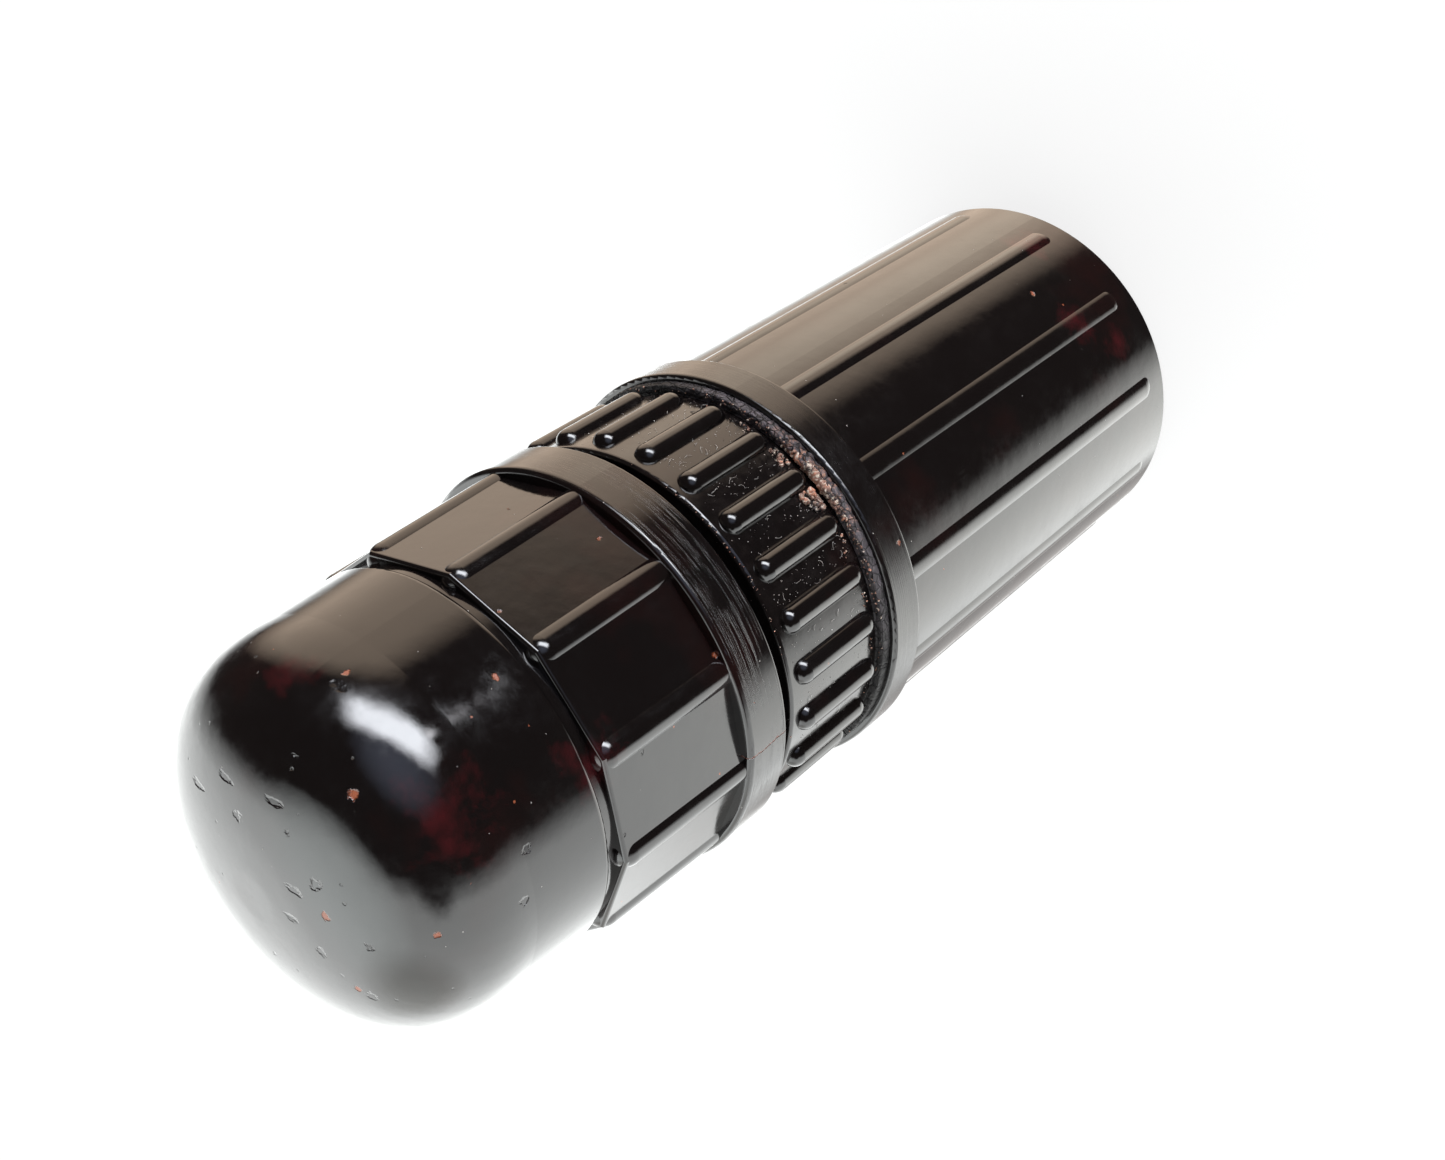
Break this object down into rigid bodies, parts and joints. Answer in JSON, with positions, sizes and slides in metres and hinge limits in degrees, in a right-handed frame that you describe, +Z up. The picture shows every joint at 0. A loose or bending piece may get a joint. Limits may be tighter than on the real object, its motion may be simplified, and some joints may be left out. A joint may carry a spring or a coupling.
{
  "type": "film developing tank",
  "caption": "Hand-sized cylindrical daylight tank for developing small-format roll film, with a screw head, a screw cap and a helical film drum.",
  "frame": {"origin": "centre of the flat base, on the surface it stands on", "axes": "+Z up along the tank's axis from the base to the rounded cap; +X through a rib of the cap"},
  "size_m": [0.0514, 0.0512, 0.1373],
  "materials": {
    "phenolic": "polished compression-moulded phenolic, very dark red-brown, worn",
    "phenolic_inner": "as-moulded phenolic, satin",
    "perished_rubber": "hardened, crumbling at the edge",
    "soft_rubber": "matt black rubber",
    "brass": "turned, dull",
    "steel": "spring-hard strip and pin",
    "glass": "clear tube",
    "red_liquid": "dyed thermometer liquid",
    "white_card": "plain white scale strip"
  },
  "bodies": {
    "tank": {"tank_body": "phenolic", "pivot_bush": "phenolic_inner"},
    "head_seal": {"flange_gasket": "perished_rubber"},
    "head": {"head_collar": "phenolic", "head_bush": "brass", "light_baffle": "phenolic_inner"},
    "cap_seal": {"cap_washer": "soft_rubber"},
    "cap": {"dome_cap": "phenolic"},
    "drum": {"spiral_drum": "phenolic_inner", "drum_top_disc": "phenolic_inner", "drum_bottom_disc": "phenolic_inner", "drum_spindle": "phenolic_inner", "spindle_washer": "soft_rubber", "winding_knob": "phenolic_inner", "knob_nut": "brass", "clip_pin": "steel"},
    "film_clip": {"film_clip": "steel"},
    "thermometer": {"thermometer_stopper": "phenolic_inner", "stopper_washer": "soft_rubber", "thermometer_glass": "glass", "thermometer_column": "red_liquid", "thermometer_scale": "white_card"}
  },
  "joints": [
    {"name": "head_lift", "type": "slide", "parent": "tank", "child": "head_seal", "axis": [0, 0, 1], "range_m": [0, 0.066]},
    {"name": "head_turn", "type": "hinge", "parent": "head_seal", "child": "head", "pos_m": [0, 0, 0.0678], "axis": [0, 0, 1], "range_deg": [0, 5940]},
    {"name": "cap_lift", "type": "slide", "parent": "head", "child": "cap_seal", "axis": [0, 0, 1], "range_m": [0, 0.036]},
    {"name": "cap_turn", "type": "hinge", "parent": "cap_seal", "child": "cap", "pos_m": [0, 0, 0.086], "axis": [0, 0, 1], "range_deg": [0, 3240]},
    {"name": "drum_spin", "type": "hinge", "parent": "head", "child": "drum", "pos_m": [0, 0, 0.098], "axis": [0, 0, 1], "continuous": true},
    {"name": "clip_swing", "type": "hinge", "parent": "drum", "child": "film_clip", "pos_m": [0.01586, 0.00243, 0.0369], "axis": [0, 0, 1], "range_deg": [0, 25], "stiffness_Nm_per_rad": 0.004},
    {"name": "thermometer_lift", "type": "slide", "parent": "drum", "child": "thermometer", "axis": [0, 0, 1], "range_m": [0, 0.01]}
  ],
  "couplings": [
    {"joint": "head_lift", "follows": "head_turn", "m_per_rad": 0.00063662},
    {"joint": "cap_lift", "follows": "cap_turn", "m_per_rad": 0.00063662}
  ]
}
